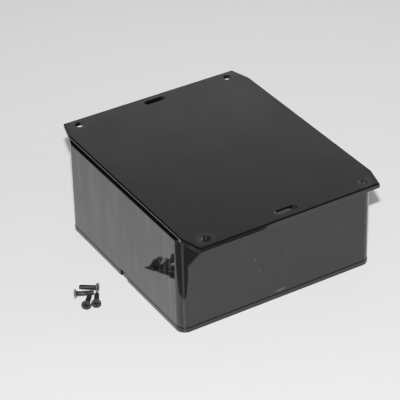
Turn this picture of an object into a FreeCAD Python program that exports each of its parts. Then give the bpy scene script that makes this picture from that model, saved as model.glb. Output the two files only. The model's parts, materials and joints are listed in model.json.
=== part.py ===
import FreeCAD
import Part

import math
import os

from FreeCAD import Placement, Rotation, Vector

# A flanged, moulded ABS equipment box, standing on its screwed cover, with its four cover screws
# lying loose beside it. Millimetres. The origin is the centre of the cover's underside, +Z points
# up to the flange's mounting face, and the flange overhangs the body at its two Y ends.

# Overall size
TOTAL_HEIGHT = 60.0         # cover's underside to the flange's face
BODY_SIDE = 120.7           # square body, measured just above the cover seam
BODY_CORNER_R = 5.0         # upright corners
BODY_INSET = 0.27           # mould draft: how far each wall has leaned in at the closed end
WALL = 2.4                  # side walls
SHOULDER_R = 2.65           # rounded long edges under the plate
SHOULDER_TOP = 59.0         # where the rounded edges would end, inside the plate

# Flange plate
PLATE_X = 117.9
PLATE_Y = 146.0
PLATE_T = 2.4
CORNER_CUT_X = 3.7          # cut corners, measured along each side
CORNER_CUT_Y = 12.8
PLATE_EDGE_R = 0.85
LIP_DEPTH = 3.1             # the plate's rim turns down this far below its face
LIP_WIDTH = 1.6
LIP_EDGE_R = 0.4            # rounded lower edge of the turned-down rim
HOLE_SPACING_X = 96.4
HOLE_SPACING_Y = 133.9
HOLE_R = 2.6
SLOT_LENGTH = 13.4          # end to end, along X
SLOT_WIDTH = 4.0
COLLAR_DEPTH = 4.5          # slot wall, measured down from the plate's face
COLLAR_WALL = 1.6

# Cover
COVER_X = 121.2
COVER_Y = 121.4
COVER_T = 2.9
COVER_CORNER_R = 5.5
COVER_FOOT_R = 0.3          # rounded edge all round the underside
COVER_SEAM_R = 0.2          # rounded edge all round at the seam
SEAM_GROOVE = 0.2           # the body's foot is bevelled this much, which draws the seam line
TONGUE_LENGTH = 92.0        # four strips on the cover that find the inside of the walls
TONGUE_HEIGHT = 3.0
TONGUE_T = 1.5
TONGUE_GAP = 0.3
NOTCH_WIDTH = 7.2           # a pry notch at the middle of each X side, through the seam
NOTCH_RISE = 1.3            # above the seam, in the body's foot
NOTCH_DEPTH = 1.1           # into the body's foot
NOTCH_RIM_DEPTH = 0.8       # into the cover's rim, over its full height

# Inside the body
CAVITY_R = 2.0
CLOSED_END_T = 3.0
BOSS_AT = 53.6              # screw bosses, from the centre along X and Y
BOSS_R = 4.4
PILOT_R = 1.2
PILOT_DEPTH = 11.0
STANDOFF_AT = 40.0          # board standoffs on the closed end
STANDOFF_R = 3.0
STANDOFF_HEIGHT = 6.0
STANDOFF_PILOT_R = 1.0
STANDOFF_PILOT_DEPTH = 5.0
GUIDE_AT = 18.0             # card guides on the two X walls: pairs of upright ribs
GUIDE_GAP = 1.8
GUIDE_T = 1.4
GUIDE_REACH = 2.4
GUIDE_FOOT = 12.0

# Cover screws: countersunk, cross recess, blunt thread-forming, 10.5 mm long
SCREW_LENGTH = 10.5
SCREW_R = 1.42
SCREW_HEAD_R = 2.75
SCREW_HEAD_LAND = 0.25      # upright rim of the head
THREAD_PITCH = 0.6
THREAD_DEPTH = 0.22
RECESS_R = 1.55
RECESS_DEPTH = 1.35
RECESS_WING = 0.85
SCREW_CLEARANCE_R = 1.6
COUNTERSINK_R = 2.95

# How each loose screw lies: its head's centre, and the compass angle that its tip points to (degrees
# from +X). The head's rim and the last of the thread both touch the table.
SCREW_POSES = {
    "cover_screw_1": {"head": (-78.4, -3.0), "heading": 133.0},
    "cover_screw_2": {"head": (-91.6, -1.1), "heading": -17.0},
    "cover_screw_3": {"head": (-91.3, -13.7), "heading": 52.0},
    "cover_screw_4": {"head": (-86.0, -15.2), "heading": 60.0},
}

PLATE_UNDERSIDE = TOTAL_HEIGHT - PLATE_T
CLOSED_END = TOTAL_HEIGHT - CLOSED_END_T
GROOVE_TOP = COVER_T + SEAM_GROOVE
CAVITY_SIDE = BODY_SIDE - 2 * WALL


def at(x, y, z):
    return Vector(x, y, z)


def four_corners(x, y):
    return [(sx * x, sy * y) for sx in (-1, 1) for sy in (-1, 1)]


def box(x0, x1, y0, y1, z0, z1):
    return Part.makeBox(x1 - x0, y1 - y0, z1 - z0, at(x0, y0, z0))


def post(x, y, z0, z1, radius):
    return Part.makeCylinder(radius, z1 - z0, at(x, y, z0))


def rounded_outline(side_x, side_y, radius, z):
    """A closed rectangle with round corners, in the plane at height z."""
    hx = side_x / 2
    hy = side_y / 2
    bend = radius * math.sqrt(0.5)
    edges = []
    corners = [(1, 1), (-1, 1), (-1, -1), (1, -1)]
    for i, (sx, sy) in enumerate(corners):
        centre = at(sx * (hx - radius), sy * (hy - radius), z)
        on_x_side = centre + at(sx * radius, 0, 0)
        on_y_side = centre + at(0, sy * radius, 0)
        middle = centre + at(sx * bend, sy * bend, 0)
        start, end = (on_x_side, on_y_side) if i % 2 == 0 else (on_y_side, on_x_side)
        if edges:
            edges.append(Part.LineSegment(previous, start).toShape())
        else:
            first = start
        edges.append(Part.Arc(start, middle, end).toShape())
        previous = end
    edges.append(Part.LineSegment(previous, first).toShape())
    return Part.Wire(edges)


def rounded_block(side_0, side_1, radius, z0, z1):
    """A square block with round upright corners, whose side changes from side_0 to side_1."""
    outlines = [rounded_outline(side_0, side_0, radius, z0), rounded_outline(side_1, side_1, radius, z1)]
    return Part.makeLoft(outlines, True, True)


def slot_prism(x, y, length, width, z0, z1):
    """An upright prism with half-round ends, running along X."""
    reach = (length - width) / 2
    radius = width / 2
    middle = box(x - reach, x + reach, y - radius, y + radius, z0, z1)
    return middle.fuse([post(x - reach, y, z0, z1, radius), post(x + reach, y, z0, z1, radius)])


def plate_prism(margin, z0, z1):
    """The plate's eight-sided outline, drawn in by margin, from z0 to z1."""
    hx = PLATE_X / 2 - margin
    hy = PLATE_Y / 2 - margin
    cut_x = CORNER_CUT_X
    cut_y = CORNER_CUT_Y
    points = [
        (hx, hy - cut_y), (hx - cut_x, hy), (cut_x - hx, hy), (-hx, hy - cut_y),
        (-hx, cut_y - hy), (cut_x - hx, -hy), (hx - cut_x, -hy), (hx, cut_y - hy),
    ]
    wire = Part.makePolygon([at(x, y, z0) for x, y in points + points[:1]])
    return Part.Face(wire).extrude(at(0, 0, z1 - z0))


def wall_face(z):
    """Distance from the centre to the drafted outside of a wall at height z."""
    lean = BODY_INSET * (z - GROOVE_TOP) / (SHOULDER_TOP - GROOVE_TOP)
    return BODY_SIDE / 2 - lean


def outer_block():
    """The body without its flange: drafted walls, bevelled foot, and two rounded long edges."""
    foot = rounded_block(BODY_SIDE - 2 * SEAM_GROOVE, BODY_SIDE, BODY_CORNER_R, COVER_T, GROOVE_TOP)
    top_side = BODY_SIDE - 2 * BODY_INSET
    walls = rounded_block(BODY_SIDE, top_side, BODY_CORNER_R, GROOVE_TOP, SHOULDER_TOP)
    block = walls.fuse(foot)
    centre_z = SHOULDER_TOP - SHOULDER_R
    centre_x = wall_face(centre_z) - SHOULDER_R
    reach = BODY_SIDE
    for side in (-1, 1):
        rod = Part.makeCylinder(SHOULDER_R, 2 * reach, at(side * centre_x, -reach, centre_z), at(0, 1, 0))
        low, high = sorted((side * centre_x, side * (centre_x + 2 * SHOULDER_R)))
        corner = box(low, high, -reach, reach, centre_z, TOTAL_HEIGHT + 1)
        block = block.cut(corner.cut(rod))
    return block


def flange():
    """The plate with its turned-down rim and the collars of its two slots."""
    face = plate_prism(0, PLATE_UNDERSIDE, TOTAL_HEIGHT)
    rim_edges = [e for e in face.Edges if all(v.Z > TOTAL_HEIGHT - 0.01 for v in e.Vertexes)]
    face = face.makeFillet(PLATE_EDGE_R, rim_edges)
    lip_foot = TOTAL_HEIGHT - LIP_DEPTH
    lip = plate_prism(0, lip_foot, PLATE_UNDERSIDE)
    foot_edges = [e for e in lip.Edges if all(v.Z < lip_foot + 0.01 for v in e.Vertexes)]
    lip = lip.makeFillet(LIP_EDGE_R, foot_edges).cut(plate_prism(LIP_WIDTH, lip_foot, PLATE_UNDERSIDE))
    collars = [
        slot_prism(0, side * HOLE_SPACING_Y / 2, SLOT_LENGTH + 2 * COLLAR_WALL, SLOT_WIDTH + 2 * COLLAR_WALL,
                   TOTAL_HEIGHT - COLLAR_DEPTH, PLATE_UNDERSIDE)
        for side in (-1, 1)
    ]
    return face.fuse([lip] + collars)


def flange_openings():
    low = TOTAL_HEIGHT - COLLAR_DEPTH - 1
    high = TOTAL_HEIGHT + 1
    holes = [post(x, y, low, high, HOLE_R) for x, y in four_corners(HOLE_SPACING_X / 2, HOLE_SPACING_Y / 2)]
    slot_y = HOLE_SPACING_Y / 2
    slots = [slot_prism(0, y, SLOT_LENGTH, SLOT_WIDTH, low, high) for y in (-slot_y, slot_y)]
    return holes + slots


def screw_bosses():
    return [post(x, y, COVER_T, CLOSED_END + 1, BOSS_R) for x, y in four_corners(BOSS_AT, BOSS_AT)]


def standoffs():
    foot = CLOSED_END - STANDOFF_HEIGHT
    return [post(x, y, foot, CLOSED_END + 1, STANDOFF_R) for x, y in four_corners(STANDOFF_AT, STANDOFF_AT)]


def card_guides():
    """Upright ribs in pairs, which hold the edges of a board standing between the X walls."""
    inside = CAVITY_SIDE / 2
    ribs = []
    for side in (-1, 1):
        low, high = sorted((side * (inside - GUIDE_REACH), side * (inside + 1)))
        for pair in (-GUIDE_AT, GUIDE_AT):
            for rib in (-1, 1):
                middle = pair + rib * (GUIDE_GAP + GUIDE_T) / 2
                ribs.append(box(low, high, middle - GUIDE_T / 2, middle + GUIDE_T / 2,
                                GUIDE_FOOT, CLOSED_END + 1))
    return ribs


def blind_bores():
    """Pilot bores for the cover screws and for the board's screws, all open downwards."""
    top = COVER_T + PILOT_DEPTH
    bores = [post(x, y, COVER_T - 1, top, PILOT_R) for x, y in four_corners(BOSS_AT, BOSS_AT)]
    foot = CLOSED_END - STANDOFF_HEIGHT
    for x, y in four_corners(STANDOFF_AT, STANDOFF_AT):
        bores.append(post(x, y, foot - 1, foot + STANDOFF_PILOT_DEPTH, STANDOFF_PILOT_R))
    return bores


def pry_notches(z0, z1, face_x, depth):
    """Two small blocks to cut, one at the middle of each X side, reaching depth into its face."""
    half = NOTCH_WIDTH / 2
    cuts = []
    for side in (-1, 1):
        low, high = sorted((side * (face_x - depth), side * (face_x + 1)))
        cuts.append(box(low, high, -half, half, z0, z1))
    return cuts


def flanged_body():
    cavity = rounded_block(CAVITY_SIDE, CAVITY_SIDE - 2 * BODY_INSET, CAVITY_R, COVER_T - 1, CLOSED_END)
    shell = outer_block().fuse(flange()).cut(cavity)
    shell = shell.fuse(screw_bosses() + standoffs() + card_guides())
    notches = pry_notches(COVER_T - 1, COVER_T + NOTCH_RISE, BODY_SIDE / 2, NOTCH_DEPTH)
    return shell.cut(flange_openings() + blind_bores() + notches).removeSplitter()


def tongues():
    """Four upright strips, just inside the body's walls, clear of the screw bosses."""
    face = CAVITY_SIDE / 2 - TONGUE_GAP
    half = TONGUE_LENGTH / 2
    top = COVER_T + TONGUE_HEIGHT
    strips = []
    for side in (-1, 1):
        low, high = sorted((side * (face - TONGUE_T), side * face))
        strips.append(box(low, high, -half, half, COVER_T - 1, top))
        strips.append(box(-half, half, low, high, COVER_T - 1, top))
    return strips


def bottom_cover():
    outline = rounded_outline(COVER_X, COVER_Y, COVER_CORNER_R, 0)
    plate = Part.Face(outline).extrude(at(0, 0, COVER_T))
    for z, radius in ((0, COVER_FOOT_R), (COVER_T, COVER_SEAM_R)):
        rim = [e for e in plate.Edges if all(abs(v.Z - z) < 0.01 for v in e.Vertexes)]
        plate = plate.makeFillet(radius, rim)
    cuts = []
    for x, y in four_corners(BOSS_AT, BOSS_AT):
        cuts.append(post(x, y, -1, COVER_T + 1, SCREW_CLEARANCE_R))
        depth = COUNTERSINK_R - SCREW_CLEARANCE_R
        cuts.append(Part.makeCone(COUNTERSINK_R, SCREW_CLEARANCE_R, depth, at(x, y, 0)))
    cuts += pry_notches(-1, COVER_T + 1, COVER_X / 2, NOTCH_RIM_DEPTH)
    return plate.fuse(tongues()).cut(cuts).removeSplitter()


def screw():
    """A cover screw with its head's face at the origin and its tip down the -Z axis."""
    cone_end = SCREW_HEAD_LAND + SCREW_HEAD_R - SCREW_R
    core = SCREW_R - THREAD_DEPTH
    outline = [(0, 0), (SCREW_HEAD_R, 0), (SCREW_HEAD_R, -SCREW_HEAD_LAND), (SCREW_R, -cone_end)]
    depth = cone_end + THREAD_PITCH
    while depth + THREAD_PITCH < SCREW_LENGTH - THREAD_PITCH / 2:
        outline += [(SCREW_R, -depth), (core, -depth - THREAD_PITCH / 2)]
        depth += THREAD_PITCH
    outline += [(SCREW_R, -depth), (core, -SCREW_LENGTH), (0, -SCREW_LENGTH)]
    points = [at(r, 0, z) for r, z in outline + outline[:1]]
    blank = Part.Face(Part.makePolygon(points)).revolve(at(0, 0, 0), at(0, 0, 1), 360)
    wing = RECESS_WING / 2
    cross = box(-RECESS_R, RECESS_R, -wing, wing, -RECESS_DEPTH, 1)
    cross = cross.fuse(box(-wing, wing, -RECESS_R, RECESS_R, -RECESS_DEPTH, 1))
    mouth = Part.makeCone(wing, RECESS_R, RECESS_DEPTH, at(0, 0, -RECESS_DEPTH))
    mouth = mouth.fuse(post(0, 0, 0, 1, RECESS_R))
    return blank.cut(cross.common(mouth))


def lying_screw(head, heading):
    """A screw on the table, resting on its head's rim and on the last of its thread."""
    slope = math.atan((SCREW_HEAD_R - SCREW_R) / (SCREW_LENGTH - THREAD_PITCH))
    height = SCREW_HEAD_R * math.cos(slope) + SCREW_HEAD_LAND * math.sin(slope)
    lie_down = Rotation(at(0, 1, 0), -90 + math.degrees(slope))
    turn = Rotation(at(0, 0, 1), heading)
    piece = screw()
    piece.Placement = Placement(at(head[0], head[1], height), turn.multiply(lie_down))
    return piece


def main():
    os.makedirs("parts", exist_ok=True)
    pieces = {"flanged_body": flanged_body(), "bottom_cover": bottom_cover()}
    for name, pose in SCREW_POSES.items():
        pieces[name] = lying_screw(pose["head"], pose["heading"])
    for name, shape in pieces.items():
        shape.exportStep(os.path.join("parts", name + ".step"))
        size = shape.BoundBox
        print(name, "valid", shape.isValid(), "solids", len(shape.Solids), "volume", round(shape.Volume),
              "x %.2f %.2f y %.2f %.2f z %.2f %.2f" % (size.XMin, size.XMax, size.YMin, size.YMax,
                                                       size.ZMin, size.ZMax))


main()
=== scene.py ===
"""The flanged black box standing on its cover, and its four loose screws, on a pale table.

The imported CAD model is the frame: its nodes keep their shapes and places and get their finishes
here. The screws' shanks get real threads. All lengths are metres, +Z up, with the origin at the
middle of the cover's underside.
"""
import json
import math

import bmesh
import bpy
from mathutils import Matrix, Vector


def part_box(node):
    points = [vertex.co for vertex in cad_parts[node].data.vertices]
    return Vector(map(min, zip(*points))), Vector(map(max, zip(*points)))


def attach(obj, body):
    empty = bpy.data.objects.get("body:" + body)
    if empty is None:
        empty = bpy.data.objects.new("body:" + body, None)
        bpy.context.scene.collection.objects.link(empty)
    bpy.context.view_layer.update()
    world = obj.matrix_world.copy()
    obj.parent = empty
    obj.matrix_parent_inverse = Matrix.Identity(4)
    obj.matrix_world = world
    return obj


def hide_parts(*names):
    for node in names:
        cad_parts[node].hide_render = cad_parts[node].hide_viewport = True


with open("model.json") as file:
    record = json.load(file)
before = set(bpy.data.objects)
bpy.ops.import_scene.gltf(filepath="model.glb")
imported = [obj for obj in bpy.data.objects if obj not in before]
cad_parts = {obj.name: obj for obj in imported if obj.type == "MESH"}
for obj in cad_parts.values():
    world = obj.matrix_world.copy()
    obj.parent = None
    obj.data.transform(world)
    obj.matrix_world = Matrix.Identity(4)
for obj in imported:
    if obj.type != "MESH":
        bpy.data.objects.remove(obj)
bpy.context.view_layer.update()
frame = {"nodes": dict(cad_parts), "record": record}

MM = 0.001

# Half the spacing of the four flange holes, across and along the flange.
PATTERN = next(m for m in frame["record"]["mounts"] if m["name"] == "flange_holes")["dims"]
HALF_SPACING = (PATTERN["spacing_x_mm"] / 2 * MM, PATTERN["spacing_y_mm"] / 2 * MM)

# Camera: a long lens about a metre away, looking down at the corner between two walls.
CAMERA_AZIMUTH = math.radians(-30.546)
CAMERA_ELEVATION = math.radians(33.155)
CAMERA_ROLL = math.radians(-1.487)
CAMERA_DISTANCE = 1.0348
CAMERA_LENS = 167.05
SENSOR_WIDTH = 36.0
AIM = Vector((-1.61 * MM, 16.68 * MM, 20.75 * MM))

# Lamps: place, width, height, power, and whether polished faces mirror it.
LAMPS = {
    "key": ((-0.425, -0.698, 0.667), 30 * MM, 16 * MM, 22.0, True),
    "back": ((0.16, 0.27, 0.19), 0.45, 0.12, 0.19, True),
    "side": ((0.70, -0.55, 0.42), 0.35, 0.35, 1.9, False),
}
# Which way the wide window lies. The world's levels: the dim room, overhead, the window, the backcloth.
WINDOW = Vector((0.62, 0.74, 0.28))
ROOM_LEVEL = 0.015
OVERHEAD_LEVEL = 0.40
WINDOW_LEVEL = 0.15
BACKCLOTH_LEVEL = 1.1

# The table, and the dark cards over it. Distances are from the origin, except the corner card's.
TABLE_SIZE = 6.0
TABLE_EDGE = 109 * MM
FLAG_REACH = 2.0
FLAG_HEIGHT = 0.4 * MM
LEFT_FLAG_X = -0.19
CORNER_FLAG = 29 * MM
CORNER_FLAG_REACH = 0.5
CORNER_FLAG_HEIGHT = 0.7 * FLAG_HEIGHT
ROOM_COLOUR = (0.17, 0.15, 0.13, 1.0)

# Paler rings round the flange holes: radius, and half width at the outside and at full strength.
RING_R = 4.1 * MM
RING_FADE = 1.9 * MM
RING_FULL = 0.3 * MM

# A painted highlight down each upright corner, where the key light glints on the curve: its bearing from X,
# and half its width.
KEY_GLINT_BEARING = math.radians(59)
KEY_GLINT_HALF_WIDTH = math.radians(10)
# Marks on the -Y wall: share of its width, share of its height, half width and half height in mm.
# The first is a painted highlight, where the lip of the notch at the foot of the wall catches the light, and
# the rest are specks of dust. WALL_MARK_DEPTH is half their depth in mm.
WALL_GLINT_AND_SPECKS = [
    (0.51, 0.08, 4.8, 1.0),
    (0.38, 0.50, 1.3, 1.2),
    (0.41, 0.55, 0.9, 0.7),
    (0.54, 0.48, 1.0, 1.3),
    (0.40, 0.37, 0.9, 0.9),
]
WALL_MARK_DEPTH = 1.5
SPECK_STRENGTH = 0.5

# Screw threads, from the head's face down the shank.
THREAD_START = 1.58 * MM
THREAD_END = 10.5 * MM
THREAD_PITCH = 0.6 * MM
CREST_R = 1.42 * MM
ROOT_R = 1.2 * MM
THREAD_SIDES = 28
THREAD_STEPS = 8

TOWARD_CAMERA = Vector((math.sin(CAMERA_AZIMUTH), -math.cos(CAMERA_AZIMUTH), 0.0))
ACROSS = Vector((-TOWARD_CAMERA.y, TOWARD_CAMERA.x, 0.0))


class Recipe:
    """Builds one material's or world's nodes, with short calls for the nodes used most."""

    def __init__(self, owner):
        owner.use_nodes = True
        self.tree = owner.node_tree
        self.tree.nodes.clear()

    def node(self, kind, inputs=None, **settings):
        made = self.tree.nodes.new(kind)
        for name, value in settings.items():
            setattr(made, name, value)
        for name, value in (inputs or {}).items():
            if isinstance(value, bpy.types.NodeSocket):
                self.tree.links.new(value, made.inputs[name])
            else:
                made.inputs[name].default_value = value
        return made

    def math(self, operation, first, second=0.0):
        return self.node("ShaderNodeMath", {0: first, 1: second}, operation=operation).outputs[0]

    def times(self, first, *others):
        for other in others:
            first = self.math("MULTIPLY", first, other)
        return first

    def vector_math(self, operation, first, second=(0.0, 0.0, 0.0)):
        made = self.node("ShaderNodeVectorMath", {0: first, 1: second}, operation=operation)
        return made.outputs["Value" if operation in ("DOT_PRODUCT", "LENGTH") else "Vector"]

    def ramp(self, value, start, end, low=0.0, high=1.0):
        """Smooth step from low, where value is start, to high, where it is end."""
        inputs = {"Value": value, "From Min": start, "From Max": end, "To Min": low, "To Max": high}
        return self.node("ShaderNodeMapRange", inputs, interpolation_type="SMOOTHSTEP").outputs["Result"]

    def noise(self, place, scale, detail=3.0, roughness=0.5):
        inputs = {"Vector": place, "Scale": scale, "Detail": detail, "Roughness": roughness}
        return self.node("ShaderNodeTexNoise", inputs).outputs["Fac"]

    def spot(self, place, centre, reach):
        """One inside an ellipsoid, falling to zero at its surface."""
        offset = self.vector_math("SUBTRACT", place, tuple(c * MM for c in centre))
        scaled = self.vector_math("DIVIDE", offset, tuple(r * MM for r in reach))
        return self.ramp(self.vector_math("LENGTH", scaled), 1.0, 0.4)

    def blend(self, amount, first, second):
        """Colour mix from first to second."""
        made = self.node("ShaderNodeMix", data_type="RGBA")
        for name, value in (("Factor", amount), ("A", first), ("B", second)):
            socket = next(s for s in made.inputs if s.name == name and s.enabled)
            if isinstance(value, bpy.types.NodeSocket):
                self.tree.links.new(value, socket)
            else:
                socket.default_value = value
        return next(s for s in made.outputs if s.enabled)

    def stretch(self, place, scale):
        return self.vector_math("MULTIPLY", place, scale)

    def bump(self, height, distance, normal=None):
        inputs = {"Height": height, "Distance": distance, "Strength": 1.0}
        if normal is not None:
            inputs["Normal"] = normal
        return self.node("ShaderNodeBump", inputs).outputs["Normal"]

    def finish_surface(self, **inputs):
        names = {name.replace("_", " "): value for name, value in inputs.items()}
        shader = self.node("ShaderNodeBsdfPrincipled", names)
        self.node("ShaderNodeOutputMaterial", {"Surface": shader.outputs[0]})


def grey(level, blue=1.0):
    return (level, level, level * blue, 1.0)


def flange_marks(recipe, place):
    """Where the flange's face is rubbed paler: rings round its four holes, and loose dust."""
    folded = recipe.vector_math("ABSOLUTE", place)
    hole = HALF_SPACING + (0.0,)
    off_hole = recipe.stretch(recipe.vector_math("SUBTRACT", folded, hole), (1.0, 1.0, 0.0))
    off_ring = recipe.math("SUBTRACT", recipe.vector_math("LENGTH", off_hole), RING_R)
    ring = recipe.ramp(recipe.math("ABSOLUTE", off_ring), RING_FADE, RING_FULL)
    worn = recipe.ramp(recipe.noise(place, 120.0, 3.0), 0.38, 0.62)
    dust = recipe.ramp(recipe.noise(place, 1100.0, 1.0), 0.70, 0.80)
    lint = recipe.ramp(recipe.noise(recipe.stretch(place, (1.0, 3.5, 1.0)), 260.0, 2.0), 0.66, 0.74)
    marks = recipe.math("ADD", recipe.times(ring, worn, 0.8), recipe.times(dust, 0.8))
    return recipe.math("ADD", marks, recipe.times(lint, worn, 0.7))


def wall_glint_and_specks(recipe, place):
    """A painted highlight on the lip of the notch at the foot of the -Y wall, and four specks of dust on
    that wall, placed roughly where listed.
    """
    low, high = (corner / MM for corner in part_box("bottom_cover"))
    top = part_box("flanged_body")[1].z / MM
    broken = recipe.ramp(recipe.noise(place, 1500.0, 2.0), 0.40, 0.60)
    spots = []
    for across, up, half_width, half_height in WALL_GLINT_AND_SPECKS:
        centre = (low.x + across * (high.x - low.x), low.y, low.z + up * (top - low.z))
        spots.append(recipe.spot(place, centre, (half_width, WALL_MARK_DEPTH, half_height)))
    # The first spot is the painted highlight on the notch's lip; the specks join it at SPECK_STRENGTH.
    total = spots[0]
    for speck in spots[1:]:
        total = recipe.math("MAXIMUM", total, recipe.math("MULTIPLY", speck, SPECK_STRENGTH))
    return recipe.math("MULTIPLY", total, broken)


def moulded_plastic(name):
    """Black ABS: polished walls, with faint upright streaks on two of them, and satin flat faces."""
    material = bpy.data.materials.new(name)
    recipe = Recipe(material)
    coords = recipe.node("ShaderNodeTexCoord")
    place = coords.outputs["Object"]
    facing = recipe.node("ShaderNodeSeparateXYZ", {0: coords.outputs["Normal"]}).outputs
    up_face = recipe.ramp(facing["Z"], 0.80, 0.99)
    upright = recipe.ramp(recipe.math("ABSOLUTE", facing["Z"]), 0.25, 0.05)
    facing_x = recipe.ramp(recipe.math("ABSOLUTE", facing["X"]), 0.75, 0.98)

    smudges = recipe.ramp(recipe.noise(place, 38.0, 4.0, 0.55), 0.35, 0.75)
    grain = recipe.noise(place, 2600.0, 2.0)
    streaks = recipe.noise(recipe.stretch(place, (1.0, 1.0, 0.03)), 430.0, 2.0)
    streak_mark = recipe.times(recipe.ramp(streaks, 0.35, 0.70), upright, facing_x)
    smear = recipe.times(recipe.ramp(recipe.noise(place, 75.0, 3.0), 0.45, 0.75), upright)

    # Which way round the upright corners a face looks: 0 along X, 90 along Y.
    turn = recipe.math("ARCTAN2", recipe.math("ABSOLUTE", facing["Y"]), recipe.math("ABSOLUTE", facing["X"]))
    # Painted highlight: a paler line down each upright corner where the key light glints.
    off_line = recipe.math("ABSOLUTE", recipe.math("SUBTRACT", turn, KEY_GLINT_BEARING))
    painted_corner_glint = recipe.math("MULTIPLY", recipe.ramp(off_line, KEY_GLINT_HALF_WIDTH, 0.3 * KEY_GLINT_HALF_WIDTH), upright)

    colour = recipe.blend(up_face, grey(0.0018), grey(0.0028, 1.3))
    colour = recipe.blend(streak_mark, colour, grey(0.026))
    colour = recipe.blend(smear, colour, grey(0.0035))
    # Paint the key light's glint on the upright corners in as paler colour.
    colour = recipe.blend(painted_corner_glint, colour, grey(0.016))
    colour = recipe.blend(recipe.times(flange_marks(recipe, place), up_face), colour, grey(0.016))
    # Painted highlight on the notch's lip, and dust specks, as paler colour on the -Y wall.
    colour = recipe.blend(wall_glint_and_specks(recipe, place), colour, grey(0.060))

    wall_roughness = recipe.math("ADD", recipe.math("MULTIPLY", streaks, 0.04), 0.03)
    top_roughness = recipe.math("ADD", recipe.math("MULTIPLY", smudges, 0.06), 0.40)
    roughness = recipe.node("ShaderNodeMix", {"Factor": up_face, "A": wall_roughness, "B": top_roughness})

    wave = recipe.bump(streak_mark, 0.004 * MM)
    normal = recipe.bump(recipe.math("MULTIPLY", grain, up_face), 0.012 * MM, wave)
    recipe.finish_surface(
        Base_Color=colour,
        Roughness=roughness.outputs["Result"],
        IOR=1.46,
        Normal=normal,
    )
    return material


def blackened_steel(name):
    """Black oxide on steel, patchy in colour and roughness."""
    material = bpy.data.materials.new(name)
    recipe = Recipe(material)
    place = recipe.node("ShaderNodeTexCoord").outputs["Object"]
    patches = recipe.noise(place, 900.0, 4.0)
    recipe.finish_surface(
        Base_Color=recipe.blend(patches, grey(0.006), grey(0.022)),
        Metallic=0.5,
        Roughness=recipe.ramp(patches, 0.3, 0.8, 0.14, 0.26),
        IOR=1.65,
    )
    return material


def table_top(name):
    """Pale matt laminate."""
    material = bpy.data.materials.new(name)
    recipe = Recipe(material)
    place = recipe.node("ShaderNodeTexCoord").outputs["Object"]
    mottle = recipe.noise(place, 60.0, 5.0)
    recipe.finish_surface(
        Base_Color=recipe.blend(mottle, grey(0.79), grey(0.82)),
        Roughness=0.7,
        IOR=1.4,
    )
    return material


def flag_cloth(name, colour):
    """Matt cloth for the dark cards."""
    material = bpy.data.materials.new(name)
    recipe = Recipe(material)
    place = recipe.node("ShaderNodeTexCoord").outputs["Object"]
    weave = recipe.noise(place, 25.0, 3.0)
    darker = tuple(0.8 * c for c in colour[:3]) + (1.0,)
    recipe.finish_surface(Base_Color=recipe.blend(weave, darker, colour), Roughness=0.9, IOR=1.2)
    return material


def sheet(name, corners, material):
    mesh = bpy.data.meshes.new(name)
    mesh.from_pydata([tuple(corner) for corner in corners], [], [tuple(range(len(corners)))])
    made = bpy.data.objects.new(name, mesh)
    bpy.context.scene.collection.objects.link(made)
    mesh.materials.append(material)
    return made


def lay_table():
    half = TABLE_SIZE / 2
    corners = [(-half, -half, 0.0), (half, -half, 0.0), (half, half, 0.0), (-half, half, 0.0)]
    sheet("table", corners, table_top("table_top"))


def flag(name, corners, height, colour):
    """A dark card that only reflections see: not the camera, the fill or the shadows."""
    lift = Vector((0.0, 0.0, height))
    made = sheet(name, [corner + lift for corner in corners], flag_cloth(name, colour))
    made.visible_camera = False
    made.visible_diffuse = False
    made.visible_shadow = False
    made.visible_transmission = False


def place_flags():
    """The lit table is taken to end in front of the object and off to its left. The corner card isn't a
    real thing: it lies over lit table, and only darkens what the near upright corner reflects."""
    near = TOWARD_CAMERA * TABLE_EDGE
    far = TOWARD_CAMERA * FLAG_REACH
    wide = ACROSS * FLAG_REACH
    flag("front_flag", [near - wide, far - wide, far + wide, near + wide], FLAG_HEIGHT, ROOM_COLOUR)

    corner = Vector((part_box("flanged_body")[0][0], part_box("bottom_cover")[0][1], 0.0))
    mirrored = Vector((TOWARD_CAMERA.x, -TOWARD_CAMERA.y, 0.0))
    sideways = Vector((-mirrored.y, mirrored.x, 0.0))
    start = corner + sideways * CORNER_FLAG
    start += TOWARD_CAMERA * (TABLE_EDGE - start.dot(TOWARD_CAMERA))
    along = mirrored * CORNER_FLAG_REACH
    flag("corner_flag", [start, start + along, start - wide + along, start - wide],
         CORNER_FLAG_HEIGHT, ROOM_COLOUR)

    places = [(LEFT_FLAG_X, -FLAG_REACH), (LEFT_FLAG_X, FLAG_REACH), (-FLAG_REACH, FLAG_REACH),
              (-FLAG_REACH, -FLAG_REACH)]
    flag("left_flag", [Vector((x, y, 0.0)) for x, y in places], FLAG_HEIGHT, grey(0.01))


def light_room():
    """A dim room with soft light overhead and a wide window behind the object's right. The camera itself
    sees a plain pale backcloth instead, which lights nothing."""
    world = bpy.data.worlds.new("studio")
    bpy.context.scene.world = world
    recipe = Recipe(world)
    direction = recipe.node("ShaderNodeTexCoord").outputs["Generated"]
    height = recipe.node("ShaderNodeSeparateXYZ", {0: direction}).outputs["Z"]
    toward_window = recipe.vector_math("DOT_PRODUCT", direction, tuple(WINDOW.normalized()))
    overhead = recipe.ramp(height, 0.5, 1.0, ROOM_LEVEL, OVERHEAD_LEVEL)
    window = recipe.ramp(toward_window, 0.55, 1.0, 0.0, WINDOW_LEVEL)
    level = recipe.math("ADD", overhead, window)
    room = recipe.node("ShaderNodeBackground", {"Strength": level})
    backcloth = recipe.node("ShaderNodeBackground", {"Color": grey(BACKCLOTH_LEVEL), "Strength": 1.0})
    seen = recipe.node("ShaderNodeLightPath").outputs["Is Camera Ray"]
    mixed = recipe.node("ShaderNodeMixShader", {0: seen, 1: room.outputs[0], 2: backcloth.outputs[0]})
    recipe.node("ShaderNodeOutputWorld", {"Surface": mixed.outputs[0]})


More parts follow.
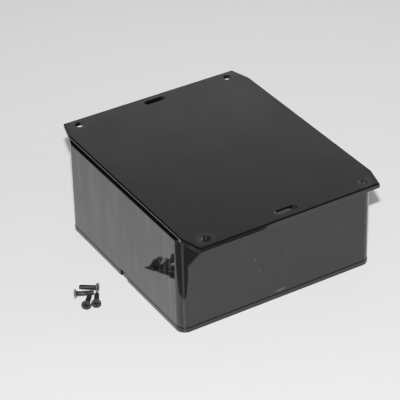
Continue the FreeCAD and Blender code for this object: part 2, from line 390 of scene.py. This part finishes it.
def place_lamps():
    for name, (place, width, height, power, mirrored) in LAMPS.items():
        lamp = bpy.data.lights.new(name, "AREA")
        lamp.shape = "RECTANGLE"
        lamp.size = width
        lamp.size_y = height
        lamp.energy = power
        made = bpy.data.objects.new(name, lamp)
        made.location = place
        made.rotation_euler = (AIM - Vector(place)).to_track_quat("-Z", "Y").to_euler()
        made.visible_glossy = mirrored
        bpy.context.scene.collection.objects.link(made)


def set_camera():
    level = math.cos(CAMERA_ELEVATION)
    back = TOWARD_CAMERA * level + Vector((0.0, 0.0, math.sin(CAMERA_ELEVATION)))
    up = back.cross(ACROSS)
    turned_right = ACROSS * math.cos(CAMERA_ROLL) + up * math.sin(CAMERA_ROLL)
    turned_up = up * math.cos(CAMERA_ROLL) - ACROSS * math.sin(CAMERA_ROLL)
    lens = bpy.data.cameras.new("camera")
    lens.lens = CAMERA_LENS
    lens.sensor_width = SENSOR_WIDTH
    lens.clip_start = 0.05
    made = bpy.data.objects.new("camera", lens)
    axes = Matrix((turned_right, turned_up, back)).transposed().to_4x4()
    made.matrix_world = Matrix.Translation(AIM + back * CAMERA_DISTANCE) @ axes
    bpy.context.scene.collection.objects.link(made)
    bpy.context.scene.camera = made


def set_response():
    """The response of a camera: straight in the darks and middle tones, with a soft shoulder."""
    view = bpy.context.scene.view_settings
    view.view_transform = "Standard"
    view.use_curve_mapping = True
    mapping = view.curve_mapping
    mapping.white_level = (1.6, 1.6, 1.6)
    curve = mapping.curves[3]
    curve.points[0].location = (0.0, 0.0)
    curve.points[1].location = (1.0, 0.86)
    for place in ((0.14, 0.22), (0.40, 0.55), (0.60, 0.69), (0.80, 0.78)):
        curve.points.new(*place)
    mapping.update()


def screw_frame(node):
    """A screw's own axes: its head's face at the origin, Z out of the head, X level."""
    mesh = node.data
    areas = {}
    for face in mesh.polygons:
        key = tuple(round(c, 2) for c in face.normal)
        areas.setdefault(key, []).append(face)
    widest = max(areas.values(), key=lambda faces: sum(face.area for face in faces))
    out = sum((face.normal * face.area for face in widest), Vector()).normalized()
    level = Vector((0.0, 0.0, 1.0)).cross(out).normalized()
    rise = out.cross(level)
    top = max(v.co.dot(out) for v in mesh.vertices)
    rim = [v.co for v in mesh.vertices if v.co.dot(out) > top - 0.01 * MM]
    across = [p.dot(level) for p in rim]
    upward = [p.dot(rise) for p in rim]
    centre = level * (min(across) + max(across)) / 2 + rise * (min(upward) + max(upward)) / 2 + out * top
    return Matrix.Translation(centre) @ Matrix((level, rise, out)).transposed().to_4x4()


def thread_radius(depth, turn):
    """Radius of the shank at a depth under the head's face, at a turn from 0 to 1."""
    phase = (depth / THREAD_PITCH - turn) % 1.0
    valley = max(0.0, abs(2.0 * phase - 1.0) - 0.35) / 0.65
    run_in = min(1.0, (depth - THREAD_START) / THREAD_PITCH)
    run_out = min(1.0, (THREAD_END - depth) / THREAD_PITCH)
    radius = CREST_R - (CREST_R - ROOT_R) * valley * run_in
    return ROOT_R + (radius - ROOT_R) * run_out


def threaded_screw(node):
    """The screw with its head as the CAD has it and a helical thread in place of the rings."""
    pose = screw_frame(node)
    build = bmesh.new()
    build.from_mesh(node.data)
    build.transform(pose.inverted())
    shank = [f for f in build.faces if f.calc_center_median().z < -THREAD_START - 0.005 * MM]
    bmesh.ops.delete(build, geom=shank, context="FACES")
    rows = math.ceil((THREAD_END - THREAD_START) / THREAD_PITCH * THREAD_STEPS)
    rings = []
    for row in range(rows + 1):
        depth = THREAD_START + (THREAD_END - THREAD_START) * row / rows
        ring = []
        for side in range(THREAD_SIDES):
            turn = side / THREAD_SIDES
            radius = thread_radius(depth, turn)
            angle = 2.0 * math.pi * turn
            ring.append(build.verts.new((radius * math.cos(angle), radius * math.sin(angle), -depth)))
        rings.append(ring)
    for upper, lower in zip(rings, rings[1:]):
        for side in range(THREAD_SIDES):
            after = (side + 1) % THREAD_SIDES
            build.faces.new((upper[side], lower[side], lower[after], upper[after])).smooth = True
    build.faces.new(reversed(rings[-1]))
    build.transform(pose)
    mesh = bpy.data.meshes.new(node.name + "_threaded")
    build.to_mesh(mesh)
    build.free()
    made = bpy.data.objects.new(node.name + "_threaded", mesh)
    bpy.context.scene.collection.objects.link(made)
    return made


def finish_nodes():
    finishes = {
        "flanged_body": moulded_plastic("body_abs"),
        "bottom_cover": moulded_plastic("cover_abs"),
    }
    steel = blackened_steel("black_oxide")
    for name, node in frame["nodes"].items():
        node.material_slots[0].material = finishes.get(name, steel)
    for body, names in frame["record"]["behaviour"]["bodies"].items():
        if body.startswith("screw"):
            piece = threaded_screw(frame["nodes"][names[0]])
            piece.data.materials.clear()
            piece.data.materials.append(steel)
            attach(piece, body)
            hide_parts(names[0])


set_camera()
set_response()
lay_table()
place_flags()
light_room()
place_lamps()
finish_nodes()
